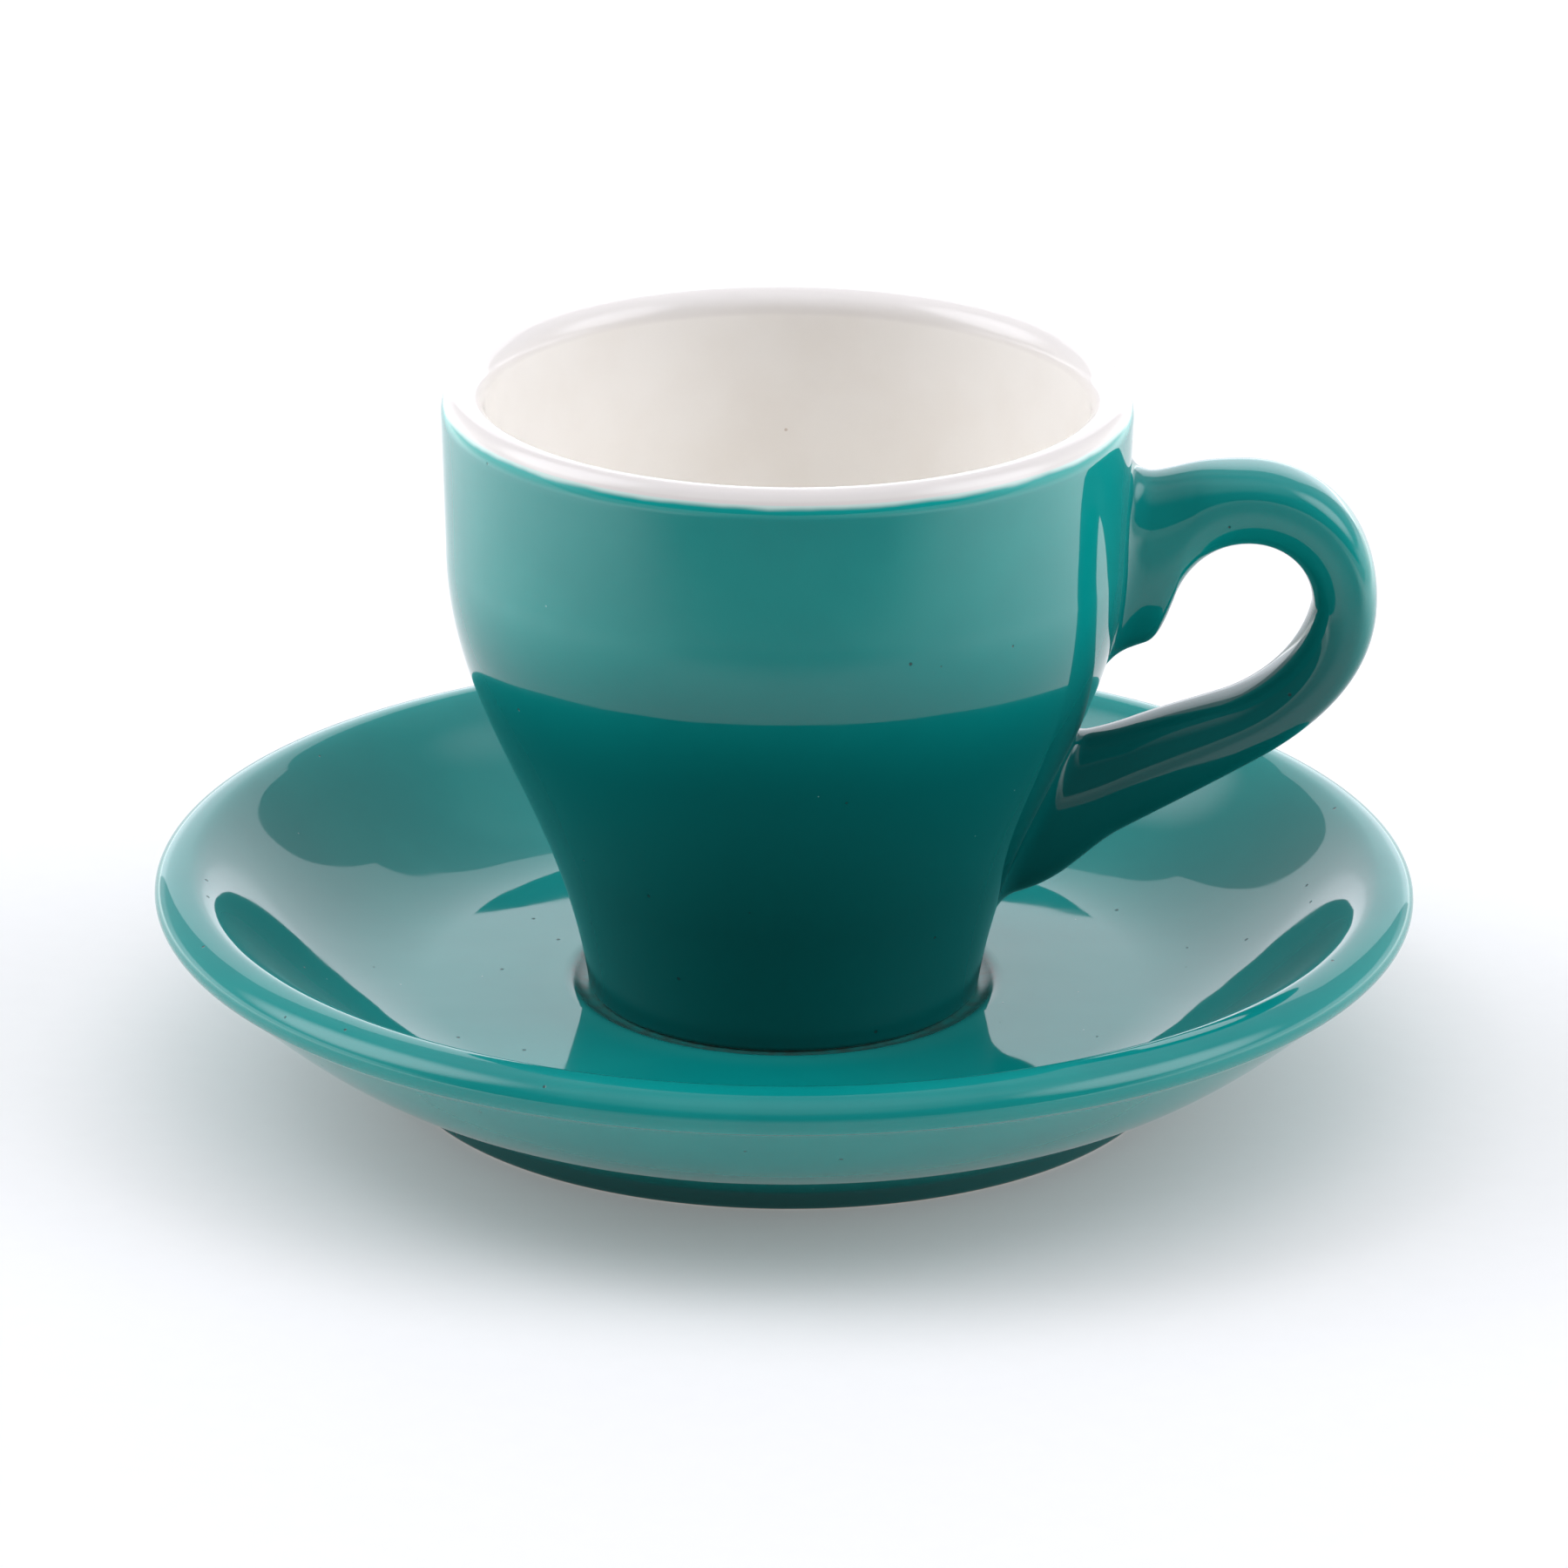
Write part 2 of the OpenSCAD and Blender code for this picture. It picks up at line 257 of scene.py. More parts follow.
class Shade:
    """One socket of a node tree. Arithmetic on it adds Math nodes."""

    def __init__(self, tree, socket=None):
        self.tree = tree
        self.socket = socket

    def node(self, kind, settings=None, inputs=None, output=0):
        """Adds a node: its settings first, then the values or links of its inputs."""
        made = self.tree.nodes.new(kind)
        for name, value in (settings or {}).items():
            setattr(made, name, value)
        for name, value in (inputs or {}).items():
            if isinstance(value, Shade):
                self.tree.links.new(value.socket, made.inputs[name])
            else:
                made.inputs[name].default_value = value
        return Shade(self.tree, made.outputs[output] if len(made.outputs) else None)

    def maths(self, operation, first, second):
        return self.node("ShaderNodeMath", {"operation": operation}, {0: first, 1: second})

    def __add__(self, other):
        return self.maths("ADD", self, other)

    def __radd__(self, other):
        return self.maths("ADD", other, self)

    def __sub__(self, other):
        return self.maths("SUBTRACT", self, other)

    def __rsub__(self, other):
        return self.maths("SUBTRACT", other, self)

    def __mul__(self, other):
        return self.maths("MULTIPLY", self, other)

    def __rmul__(self, other):
        return self.maths("MULTIPLY", other, self)

    def __gt__(self, other):
        return self.maths("GREATER_THAN", self, other)

    def rising(self, low, high):
        """0 below low, 1 above high and smooth between them."""
        limits = {"Value": self, "From Min": low, "From Max": high}
        return self.node("ShaderNodeMapRange", {"interpolation_type": "SMOOTHSTEP"}, limits)

    def blend(self, first, second):
        """The first colour where this value is 0, the second where it is 1."""
        colours = {0: self, 6: first, 7: second}
        return self.node("ShaderNodeMix", {"data_type": "RGBA"}, colours, 2)


def srgb(red, green, blue):
    """A colour as it is read off a screen, from 0 to 255, as the linear colour that shaders take."""
    shares = [value / 255 for value in (red, green, blue)]
    linear = [s / 12.92 if s <= 0.04045 else ((s + 0.055) / 1.055) ** 2.4 for s in shares]
    return (*linear, 1)


def new_material(name):
    material = bpy.data.materials.new(name)
    material.use_nodes = True
    material.node_tree.nodes.clear()
    return material, Shade(material.node_tree)


def noise(place, size, detail=2, roughness=0.5):
    """Cloudy noise from 0 to 1 whose blotches are about size across, in metres."""
    inputs = {"Vector": place, "Scale": 1 / size, "Detail": detail, "Roughness": roughness}
    return place.node("ShaderNodeTexNoise", None, inputs)


def specks(place, size, share, radius):
    """1 inside scattered dots: this share of the cells, each about size across in metres, holds a dot, whose
    radius is a share of its cell."""
    cells = {"Vector": place, "Scale": 1 / size, "Randomness": 1}
    distance = place.node("ShaderNodeTexVoronoi", None, cells, "Distance")
    colour = place.node("ShaderNodeTexVoronoi", None, cells, "Color")
    chosen = colour.node("ShaderNodeSeparateColor", None, {"Color": colour}, "Red") > 1 - share
    return chosen * (1 - distance.rising(0.6 * radius, radius))


def surface(shade, sockets):
    """Ends a material in one Principled shader with these sockets."""
    shader = shade.node("ShaderNodeBsdfPrincipled", None, sockets)
    shade.node("ShaderNodeOutputMaterial", None, {"Surface": shader})


clay_colour = srgb(220, 214, 204)
clay_shade_colour = srgb(194, 185, 172)
clay_wear_colour = srgb(128, 122, 116)
clay_grit_colour = srgb(110, 94, 80)
clay_grain = 0.35 * MM
clay_blotch = 6 * MM
clay_speck = 1.6 * MM
clay_relief = 0.05 * MM
clay_roughness = 0.78
clay_roughness_spread = 0.16

bare_clay, shade = new_material("bare_clay")
place = shade.node("ShaderNodeTexCoord", None, None, "Object")
grain = noise(place, clay_grain, detail=4)
blotch = noise(place, clay_blotch, detail=3)
wear = noise(place, clay_blotch / 3, detail=5, roughness=0.7).rising(0.52, 0.72)
colour = blotch.rising(0.3, 0.7).blend(clay_colour, clay_shade_colour)
colour = (0.55 * wear).blend(colour, clay_wear_colour)
grit = specks(place, clay_speck, share=0.12, radius=0.22)
colour = (0.8 * grit).blend(colour, clay_grit_colour)
bump = shade.node("ShaderNodeBump", None, {"Height": grain, "Distance": clay_relief, "Strength": 0.6})
surface(shade, {
    "Base Color": colour,
    "Roughness": clay_roughness + clay_roughness_spread * grain,
    "Normal": bump,
    "Specular IOR Level": 0.3,
})
saucer_clay.data.materials.append(bare_clay)
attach(saucer_clay, "saucer")
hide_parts("saucer_body")


# Saucer glaze
# A glossy teal glaze covers the saucer down round the edge of its foot, and the hollow inside the foot.
# It runs a little paler over the rim. Low down round the foot it is painted darker, as shade. The cup's foot
# has worn a dull ring.

worn_r = 20.6
worn_in_r = 14.8
worn_fade = 0.7
saucer_shade_h = 2.2
saucer_shade_fade = 0.8


def coat(path):
    """The closed outline of a coat of glaze over a path."""
    return np.concatenate([path, inset(path, glaze_t)[::-1]])


saucer_glaze = lathe("saucer_glaze_coat", coat(saucer_path), saucer_sway)
saucer_well_glaze = lathe("saucer_well_glaze", coat(well_path), saucer_sway)
saucer_recess_glaze = lathe("saucer_recess_glaze", coat(saucer_recess_path), saucer_sway)
heights = point_places(saucer_glaze.data)[:, 2]
# Painted shade: the glaze is darker low down, towards the saucer's foot.
mark(saucer_glaze.data, "low_shade", np.clip((saucer_shade_h - heights) / saucer_shade_fade, 0, 1))
well_radii = np.hypot(*point_places(saucer_well_glaze.data)[:, :2].T)
within_ring = np.minimum(worn_r - well_radii, well_radii - worn_in_r)
mark(saucer_well_glaze.data, "wear", np.clip(within_ring / worn_fade, 0, 1))

teal_colour = srgb(3, 136, 132)
teal_light_colour = srgb(6, 142, 137)
teal_thin_colour = srgb(40, 150, 144)
teal_hollow_colour = srgb(0, 106, 104)
teal_low_shade_colour = srgb(0, 98, 96)
teal_lip_colour = srgb(10, 160, 154)
teal_edge_colour = srgb(214, 234, 228)
pinhole_colour = srgb(18, 44, 44)
dust_colour = srgb(150, 196, 192)
scuff_colour = srgb(60, 82, 76)
teal_cloud = 14 * MM
teal_ripple = 10 * MM
teal_grain = 2.2 * MM
teal_relief = 0.006 * MM
teal_grain_rise = 0.3
teal_ripple_rise = 16
pinhole_dip = 8
teal_roughness = 0.035
teal_roughness_spread = 0.04
gloss_patch = 7 * MM
pinhole_cell = 3 * MM
dust_cell = 3.6 * MM
scuff_grain = 1.6 * MM
lip_wander = 5 * MM
mirrored_blur = 0.6

teal, shade = new_material("teal_glaze")
place = shade.node("ShaderNodeTexCoord", None, None, "Object")
bulge = shade.node("ShaderNodeAttribute", {"attribute_name": "bulge"}, None, "Fac")
low_shade = shade.node("ShaderNodeAttribute", {"attribute_name": "low_shade"}, None, "Fac")
wear = shade.node("ShaderNodeAttribute", {"attribute_name": "wear"}, None, "Fac")
lip = shade.node("ShaderNodeAttribute", {"attribute_name": "lip"}, None, "Fac")
mirrored = shade.node("ShaderNodeLightPath", None, None, "Is Glossy Ray")
pinholes = specks(place, pinhole_cell, share=0.3, radius=0.07)
dust = specks(place, dust_cell, share=0.2, radius=0.035)
scuff_noise = noise(place, scuff_grain, detail=4, roughness=0.6)
scuffs = wear.rising(0, 1) * (0.35 + 0.5 * scuff_noise.rising(0.35, 0.7))
cloud = noise(place, teal_cloud, detail=4, roughness=0.55)
colour = cloud.rising(0.3, 0.72).blend(teal_colour, teal_light_colour)
colour = (0.4 * bulge.rising(0.1, 0.5)).blend(colour, teal_thin_colour)
colour = (0.7 * (0 - bulge).rising(0.03, 0.3)).blend(colour, teal_hollow_colour)
# Painted shade: the teal is darker low down on the saucer, the cup and the handle.
colour = low_shade.rising(0, 1).blend(colour, teal_low_shade_colour)
colour = scuffs.blend(colour, scuff_colour)
colour = (0.8 * pinholes).blend(colour, pinhole_colour)
colour = (0.6 * dust).blend(colour, dust_colour)
lip_line = lip + 0.2 * noise(place, lip_wander) - 0.1
colour = lip.rising(0.3, 0.8).blend(colour, teal_lip_colour)
colour = lip_line.rising(0.76, 1).blend(colour, teal_edge_colour)
relief = teal_grain_rise * noise(place, teal_grain)
relief = relief + teal_ripple_rise * noise(place, teal_ripple, detail=1) - pinhole_dip * pinholes
bump = shade.node("ShaderNodeBump", None, {"Height": relief, "Distance": teal_relief, "Strength": 0.5})
patches = noise(place, gloss_patch, detail=4, roughness=0.6).rising(0.4, 0.8)
roughness = teal_roughness + teal_roughness_spread * patches
surface(shade, {
    "Base Color": colour,
    "Roughness": roughness + 0.3 * pinholes + 0.25 * wear + mirrored_blur * mirrored,
    "Normal": bump,
    "IOR": 1.48,
})
for piece in (saucer_glaze, saucer_recess_glaze, saucer_well_glaze):
    piece.data.materials.append(teal)
    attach(piece, "saucer")
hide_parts("saucer_glaze")


# Cup body
# The cup is cast in the same clay with a thick wall, which keeps the coffee hot. Its foot ring is bare
# up to its rounded edge and stands loose in the well of the saucer.

mouth_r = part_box("cup_glaze")[1].y / MM
cup_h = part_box("cup_lining")[1].z / MM - seat_h
cup_foot_r = 18.7
cup_foot_w = 3.4
cup_recess = 1.4
cup_floor_h = 5.6
cup_wall = 4
shoulder_h = 44.6
shoulder_in = 0.4
foot_flare = 8.5
lip_out_w = 1.7
lip_out_drop = 2.6
lip_in_drop = 2.4
lip_line_angle = 33
wall_foot_pull = 0.44
wall_top_pull = 0.37
bore_top_pull = 0.49
bore_floor_pull = 0.5
mouth_oval = 0.06
mouth_oval_turn = 2.2


def cup_sway(radius, height, turns):
    """The mouth is a little oval."""
    share = max(0, (height - seat_h) / cup_h) ** 2
    return share * mouth_oval * np.cos(2 * turns + mouth_oval_turn), 0 * turns


wall_start = np.array([cup_foot_r, foot_edge_r])
wall_end = np.array([mouth_r - shoulder_in, shoulder_h])
wall_rise = shoulder_h - foot_edge_r
flare_way = np.array([math.tan(math.radians(foot_flare)), 1])
wall = joined(
    curve(
        wall_start,
        wall_start + wall_foot_pull * wall_rise * flare_way,
        wall_end - [0, wall_top_pull * wall_rise],
        wall_end,
        70,
    ),
    line(wall_end, [mouth_r, cup_h - lip_out_drop], 20),
)
lip_centre = np.array([mouth_r - lip_out_w, cup_h - lip_out_drop])
lip_radii = [lip_out_w, lip_out_drop]
bore_r = mouth_r - cup_wall
bore_foot = np.array([bore_r - shoulder_in, shoulder_h])
outside_path = joined(
    foot_edge(cup_foot_r, foot_glaze_angle, 0),
    wall,
    arc(lip_centre, lip_radii, 0, lip_line_angle, 10),
)
lining_path = joined(
    arc(lip_centre, lip_radii, lip_line_angle, 90, 18),
    arc([lip_centre[0], cup_h - lip_in_drop], [lip_centre[0] - bore_r, lip_in_drop], 90, 180, 20),
    line([bore_r, cup_h - lip_in_drop], bore_foot, 16),
    curve(
        bore_foot,
        bore_foot - [0, bore_top_pull * (shoulder_h - cup_floor_h)],
        [bore_floor_pull * bore_r, cup_floor_h],
        [0, cup_floor_h],
        60,
    ),
)
cup_recess_path = recess_path(cup_foot_r, cup_foot_w, cup_recess)
seat = np.array([0, seat_h])
cup_clay = lathe(
    "cup_clay",
    seat + np.concatenate([
        inset(cup_recess_path, glaze_t),
        standing_path(cup_foot_r, cup_foot_w, foot_glaze_angle),
        inset(joined(outside_path, lining_path), glaze_t),
    ]),
    cup_sway,
)
cup_clay.data.materials.append(bare_clay)
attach(cup_clay, "cup")
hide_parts("cup_body")


# Cup lining
# A warm white glaze lines the bowl of the cup and runs up over the lip to just outside it. It is a little
# thinner and greyer on the edge of the lip, and the grey is also painted shade that tones down the
# brightly lit lip.

cup_lining = lathe("cup_white_lining", seat + coat(lining_path), cup_sway)

white_colour = srgb(253, 250, 244)
white_cloud_colour = srgb(250, 246, 239)
white_thin_shaded_colour = srgb(232, 227, 222)
white_speck_colour = srgb(200, 184, 164)
white_cloud = 9 * MM
white_ripple = 15 * MM
white_grain = 2.6 * MM
white_ripple_rise = 4
white_relief = 0.006 * MM
white_roughness = 0.05
white_roughness_spread = 0.05
white_speck_cell = 4 * MM

white_glaze, shade = new_material("white_glaze")
place = shade.node("ShaderNodeTexCoord", None, None, "Object")
cloud = noise(place, white_cloud, detail=3)
spots = specks(place, white_speck_cell, share=0.1, radius=0.05)
bulge = shade.node("ShaderNodeAttribute", {"attribute_name": "bulge"}, None, "Fac")
colour = cloud.rising(0.35, 0.75).blend(white_colour, white_cloud_colour)
# Thinner glaze and painted shade: convex edges, mostly the lip, are greyer.
colour = bulge.rising(0.06, 0.3).blend(colour, white_thin_shaded_colour)
colour = (0.6 * spots).blend(colour, white_speck_colour)
relief = noise(place, white_grain) + white_ripple_rise * noise(place, white_ripple, detail=1)
bump = shade.node("ShaderNodeBump", None, {"Height": relief, "Distance": white_relief, "Strength": 0.5})
surface(shade, {
    "Base Color": colour,
    "Roughness": white_roughness + white_roughness_spread * cloud,
    "Normal": bump,
    "IOR": 1.5,
})
cup_lining.data.materials.append(white_glaze)
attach(cup_lining, "cup")
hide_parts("cup_lining")


# Cup glaze
# Outside, the cup is dipped in the saucer's teal glaze. It thins out under the lip, where it meets the
# white in a soft line that wanders a little.

lip_fade = 2.2
cup_shade_h = 46
cup_shade_fade = 18

cup_glaze = lathe("cup_glaze_coat", seat + coat(outside_path), cup_sway)
cup_recess_glaze = lathe("cup_recess_glaze", seat + coat(cup_recess_path), cup_sway)
lip_line_h = seat_h + outside_path[-1][1]
heights = point_places(cup_glaze.data)[:, 2]
mark(cup_glaze.data, "lip", np.clip(1 - (lip_line_h - heights) / lip_fade, 0, 1))
# Painted shade: the teal darkens from below the shoulder down towards the foot.
mark(cup_glaze.data, "low_shade", np.clip((seat_h + cup_shade_h - heights) / cup_shade_fade, 0, 1))
for piece in (cup_glaze, cup_recess_glaze):
    piece.data.materials.append(teal)
    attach(piece, "cup")
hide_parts("cup_glaze")


# Handle
# The ear handle is cast by itself and stuck to the wall with liquid clay, smoothed into a fillet at
# both roots. A small spur inside the loop keeps the finger off the hot wall. It is glazed teal too.

handle_reach = 23.8
handle_top_h = 52.5
handle_low_h = 8.4
handle_w = 8.6
root_flare = 1
crown_share = 0.45
section_power = 0.74
fillet = 2
root_sink = 0.12
root_falloff = 7
strand_count = 64
strand_steps = 190
edge_steps = 30
fillet_steps = 10
lean_step = 0.1
outer_edge_shares = [
    [-0.13, 0.985], [-0.04, 0.99], [0.04, 0.975],
    [0.1, 0.977], [0.15, 0.98], [0.2, 0.99],
    [0.26, 0.995], [0.32, 1], [0.38, 1],
    [0.45, 1], [0.74, 1], [0.99, 0.885],
    [1.01, 0.7], [1.085, 0.545], [0.965, 0.433],
    [0.785, 0.351], [0.635, 0.284], [0.485, 0.228],
    [0.355, 0.175], [0.235, 0.122], [0.22, 0.033],
    [-0.08, 0.02],
]
inner_edge_shares = [
    [-0.09, 0.52], [-0.03, 0.56], [0.05, 0.585],
    [0.125, 0.6], [0.165, 0.607], [0.18, 0.63],
    [0.195, 0.69], [0.225, 0.78], [0.34, 0.828],
    [0.48, 0.828], [0.62, 0.828], [0.74, 0.77],
    [0.758, 0.688], [0.77, 0.595], [0.68, 0.512],
    [0.52, 0.478], [0.42, 0.458], [0.32, 0.442],
    [0.22, 0.417], [0.13, 0.394], [0.02, 0.382],
    [-0.09, 0.37],
]


def wall_radius(height):
    return np.interp(height, wall[:, 1], wall[:, 0])


def edge_path(shares):
    """An edge of the handle's side view: a chain of curves through its shares of reach and height."""
    points = []
    for out, up in shares:
        height = handle_low_h + up * (handle_top_h - handle_low_h)
        points.append([wall_radius(height) + out * handle_reach, height])
    return joined(*(curve(*points[k : k + 4], edge_steps) for k in range(0, len(points) - 1, 3)))


def full(part):
    """Fills out an ellipse's sine or cosine, for flatter faces and tighter edges."""
    return np.sign(part) * np.abs(part) ** section_power


outer_edge = edge_path(outer_edge_shares)
inner_edge = edge_path(inner_edge_shares)
turns = np.linspace(0, 2 * math.pi, strand_count, endpoint=False)
rings = []
for k, (outer, inner) in enumerate(zip(outer_edge, inner_edge)):
    along = k / (len(outer_edge) - 1)
    half_depth = np.linalg.norm(outer - inner) / 2
    widest = crown_share * half_depth * along
    deep = widest + full(np.cos(turns)) * (half_depth - np.sign(np.cos(turns)) * widest)
    near_root = max(0, 1 - root_falloff * min(along, 1 - along)) ** 2
    spot = (outer + inner) / 2 + deep[:, None] * (outer - inner) / (2 * half_depth)
    half_width = (handle_w + root_flare * near_root) / 2
    rings.append(np.stack([spot[:, 0], half_width * full(np.sin(turns)), spot[:, 1]], 1))
rings = np.array(rings)
middles = rings.mean(axis=1)


def root_fillet(strand, middle):
    """The fillet at one end of a strand of the handle's surface: where it leaves the strand, and its points
    from there to the wall."""
    beyond = np.hypot(strand[:, 0], strand[:, 1]) - wall_radius(strand[:, 2])
    out = int(np.argmax(beyond > 0))
    share = -beyond[out - 1] / (beyond[out] - beyond[out - 1])
    meeting = strand[out - 1] + share * (strand[out] - strand[out - 1])
    run = np.linalg.norm(np.diff(strand[out - 1 :], axis=0), axis=1).cumsum()
    leave = out - 1 + share + np.interp(fillet, run, np.arange(1, len(run) + 1))
    start = np.array([np.interp(leave, np.arange(len(strand)), strand[:, k]) for k in range(3)])
    height = meeting[2]
    lean = (wall_radius(height + lean_step) - wall_radius(height - lean_step)) / (2 * lean_step)
    face = np.array([meeting[0], meeting[1], -lean * np.hypot(meeting[0], meeting[1])])
    face /= np.linalg.norm(face)
    away = meeting - middle
    away -= face * (away @ face)
    end = meeting + fillet * away / np.linalg.norm(away)
    radius = wall_radius(end[2]) - root_sink
    end[:2] *= radius / np.hypot(end[0], end[1])
    start_pull = start + (meeting - start) * 2 / 3
    end_pull = end + (meeting - end) * 2 / 3
    return leave, curve(start, start_pull, end_pull, end, fillet_steps)


def first_outside(points):
    return points[np.argmax(points[:, 0] > wall_radius(points[:, 2]))]


strands = []
for k in range(strand_count):
    whole = rings[:, k]
    leave, top_fillet = root_fillet(whole, first_outside(middles))
    arrive, low_fillet = root_fillet(whole[::-1], first_outside(middles[::-1]))
    stations = np.linspace(leave, len(whole) - 1 - arrive, strand_steps)
    body = np.stack([np.interp(stations, np.arange(len(whole)), whole[:, a]) for a in range(3)], 1)
    strands.append(np.concatenate([top_fillet[::-1][:-1], body, low_fillet[1:]]))
strands = np.array(strands)
station_count = strands.shape[1]
points = strands.reshape(-1, 3).tolist()
faces = []
for i in range(strand_count):
    j = (i + 1) % strand_count
    for s in range(station_count - 1):
        a, b = i * station_count + s, j * station_count + s
        faces.append((a, a + 1, b + 1, b))
for s, order in ((0, 1), (station_count - 1, -1)):
    ring = strands[:, s]
    centre = ring.mean(axis=0)
    centre[:2] *= (wall_radius(centre[2]) - 2 * root_sink) / np.hypot(centre[0], centre[1])
    points.append(centre.tolist())
    for i in range(strand_count):
        pair = (i * station_count + s, (i + 1) % strand_count * station_count + s)
        faces.append((len(points) - 1, *pair[::order]))
handle = mesh_object("handle_glazed", np.array(points) + [0, 0, seat_h], faces)
heights = point_places(handle.data)[:, 2]
# The handle shares the cup's painted shade, darker towards its lower root.
mark(handle.data, "low_shade", np.clip((seat_h + cup_shade_h - heights) / cup_shade_fade, 0, 1))
handle.data.materials.append(teal)
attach(handle, "cup")
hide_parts("handle", "upper_handle_slip", "lower_handle_slip")


# Table and light
# A white tabletop in a small studio: a bright paper wall behind, a soft light at either side, a weaker one
# above and a dark room in front. The paper of the table runs out into grey towards the room. Lengths here
# are in metres.

floor_half = 2.5
front_edge = -0.112
front_end = -0.17
side_start = 0.085
side_end = 0.26
paper_end = 0.25
haze_start = 0.5
shade_r = 0.045
shade_end = 0.075
shade_glow = 0.2
table_glow = 0.38
side_glow = 2.2
side_haze = 2
front_glow = 0.14
front_haze = 0.7
room_level = 0.08
studio_level = 0.65
studio_high = 0.8
ceiling_level = 0.35
light_colour = (0.98, 0.985, 1.05, 1)
paper_colour = (0.54, 0.54, 0.54, 1)
paper_light_colour = (0.56, 0.56, 0.56, 1)
paper_front_colour = (0.3, 0.3, 0.3, 1)
paper_haze_colour = (0, 0, 0, 1)
paper_grain = 3 * MM
room_turn = (-0.6, -0.1)
side_turn = (0.5, 0.9)
horizon_rise = (0.12, 0.2)
high_rise = (0.74, 0.82)
ceiling_rise = (0.866, 0.966)
light_core = 8
left_level = 3.5
left_place = (174, 40)
left_reach = 28
right_level = 3.3
right_place = (-11, 36)
right_reach = 27
top_level = 0.7
top_place = (-90, 72)
top_reach = 46
bpy.ops.mesh.primitive_plane_add(size=2 * floor_half)
floor = bpy.context.object
floor.name = "table"
floor_material, shade = new_material("table_paper")
place = shade.node("ShaderNodeTexCoord", None, None, "Object")
grain = noise(place, paper_grain, detail=3)
across = shade.node("ShaderNodeSeparateXYZ", None, {"Vector": place}, "X")
ahead = shade.node("ShaderNodeSeparateXYZ", None, {"Vector": place}, "Y")
distance = shade.node("ShaderNodeVectorMath", {"operation": "LENGTH"}, {0: place}, "Value")
beside = shade.maths("ABSOLUTE", across, 0).rising(side_start, side_end)
front = 1 - ahead.rising(front_end, front_edge)
far = distance.rising(paper_end, haze_start)
paper = grain.blend(paper_colour, paper_light_colour)
paper = front.blend(paper, paper_front_colour)
glow = shade_glow + (table_glow - shade_glow) * distance.rising(shade_r, shade_end)
glow = glow + (front_glow - glow) * front
glow = glow + (side_glow - glow) * beside
haze = 1 + (side_haze - 1) * beside * (1 - front)
haze = haze + (front_haze - haze) * front * (1 - beside)
surface(shade, {
    "Base Color": far.blend(paper, paper_haze_colour),
    "Roughness": 0.9 + 0.05 * grain,
    "Specular IOR Level": 0.1,
    "Emission Color": glow + (haze - glow) * far,
    "Emission Strength": 1,
})
floor.data.materials.append(floor_material)

world = bpy.data.worlds.new("studio")
bpy.context.scene.world = world
world.use_nodes = True
world.node_tree.nodes.clear()
shade = Shade(world.node_tree)
place = shade.node("ShaderNodeTexCoord", None, None, "Generated")
level = shade.node("ShaderNodeVectorMath", {"operation": "MULTIPLY"}, {0: place, 1: (1, 1, 0)})
heading = shade.node("ShaderNodeVectorMath", {"operation": "NORMALIZE"}, {0: level})
across = shade.node("ShaderNodeSeparateXYZ", None, {"Vector": heading}, "X")
ahead = shade.node("ShaderNodeSeparateXYZ", None, {"Vector": heading}, "Y")
up = shade.node("ShaderNodeSeparateXYZ", None, {"Vector": place}, "Z")


def soft_light(light_place, reach):
    """A round light in the sky at a turn and a rise: 1 in its core, 0 beyond its reach, all in degrees."""
    turn, rise = (math.radians(angle) for angle in light_place)
    middle = (math.cos(rise) * math.cos(turn), math.cos(rise) * math.sin(turn), math.sin(rise))
    facing = shade.node("ShaderNodeVectorMath", {"operation": "DOT_PRODUCT"}, {0: place, 1: middle}, "Value")
    return facing.rising(math.cos(math.radians(reach)), math.cos(math.radians(light_core)))


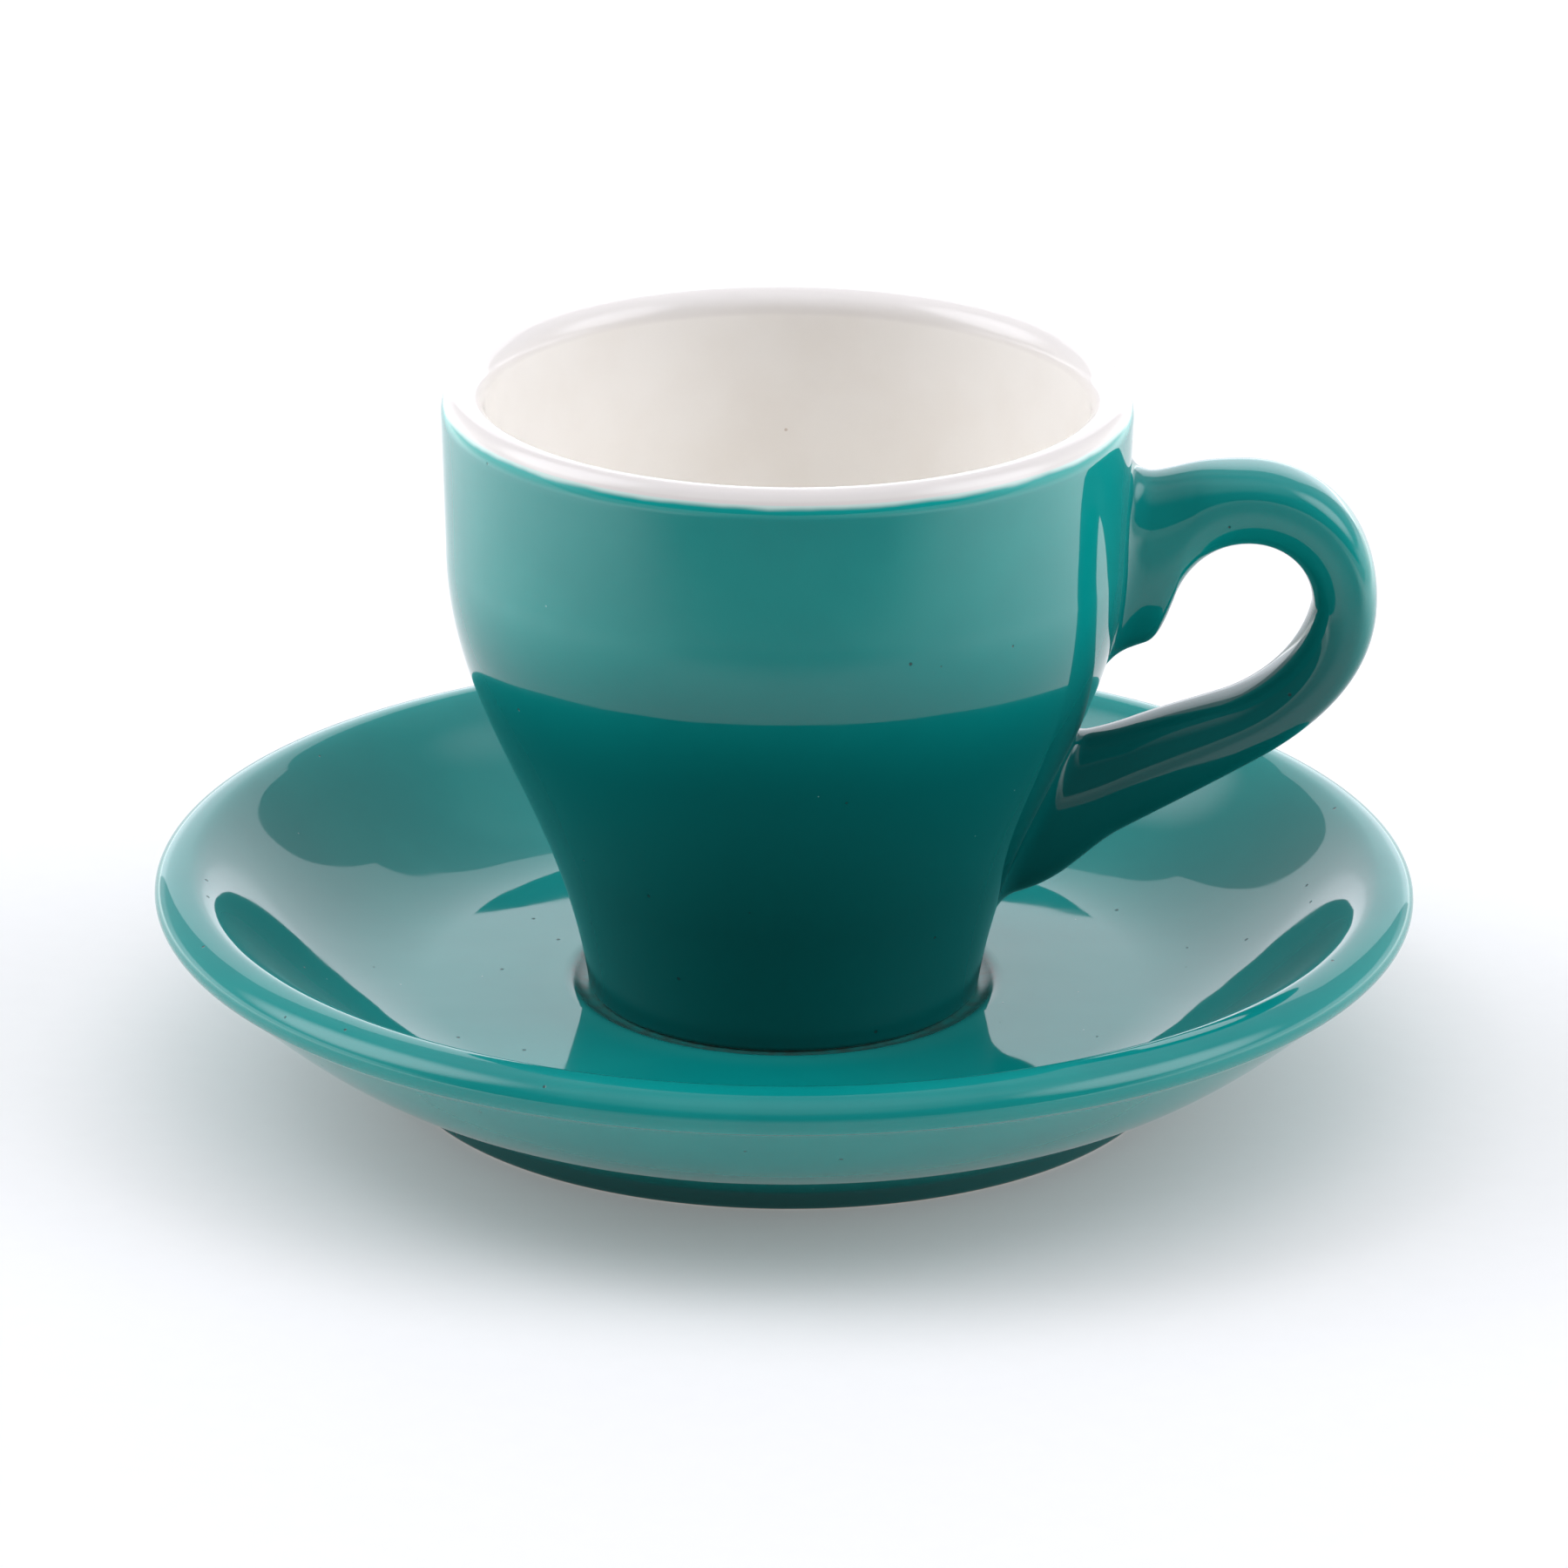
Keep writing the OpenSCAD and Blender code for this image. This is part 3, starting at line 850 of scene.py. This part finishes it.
front = 1 - ahead.rising(*room_turn)
low = 1 - up.rising(*horizon_rise)
ceiling = up.rising(*ceiling_rise)
sides = shade.maths("ABSOLUTE", across, 0).rising(*side_turn)
studio = studio_level + (studio_high - studio_level) * up.rising(*high_rise)
studio = studio + (1 + (side_haze - 1) * sides - studio) * low
strength = (studio * (1 - front) + room_level * front) * (1 - ceiling) + ceiling_level * ceiling
strength = strength + left_level * soft_light(left_place, left_reach)
strength = strength + right_level * soft_light(right_place, right_reach)
strength = strength + top_level * soft_light(top_place, top_reach)
background = shade.node("ShaderNodeBackground", None, {"Color": light_colour, "Strength": strength})
shade.node("ShaderNodeOutputWorld", None, {"Surface": background})

back_wide = 0.87
back_high = 0.65
back_level = 1.1
back_right = 0.04
back_away = 0.75
back_panel = bpy.data.lights.new("back_panel", "AREA")
back_panel.shape = "RECTANGLE"
back_panel.size = back_wide
back_panel.size_y = back_high
back_panel.color = light_colour[:3]
back_panel.energy = back_level * math.pi * back_wide * back_high
back_lamp = bpy.data.objects.new("back_panel", back_panel)
back_lamp.location = (back_right, back_away, back_high / 2)
back_lamp.rotation_euler = (math.radians(-90), 0, 0)
back_lamp.visible_camera = False
bpy.context.scene.collection.objects.link(back_lamp)


# Camera
# It looks along +Y and down at the cup through a long lens, from where the photograph was taken. The lens
# is shifted a little, because the photograph is not centred on the cup.

sensor_mm = 36
frame_px = 1800
focal_px = 10190.7
middle_px = (901.06, 879.74)
elevation = math.radians(20.361)
roll = math.radians(0.4)
distance = 843.975 * MM
target = Vector((0, 0, 30 * MM))
camera_data = bpy.data.cameras.new("camera")
camera_data.sensor_width = sensor_mm
camera_data.lens = sensor_mm * focal_px / frame_px
camera_data.shift_x = (frame_px / 2 - middle_px[0]) / frame_px
camera_data.shift_y = (middle_px[1] - frame_px / 2) / frame_px
camera = bpy.data.objects.new("camera", camera_data)
back = Vector((0, -math.cos(elevation), math.sin(elevation)))
camera.location = target + distance * back
turn = (-back).to_track_quat("-Z", "Y").to_matrix() @ Matrix.Rotation(roll, 3, "Z")
camera.rotation_euler = turn.to_euler()
bpy.context.scene.collection.objects.link(camera)
bpy.context.scene.camera = camera
bpy.context.scene.view_settings.view_transform = "Standard"
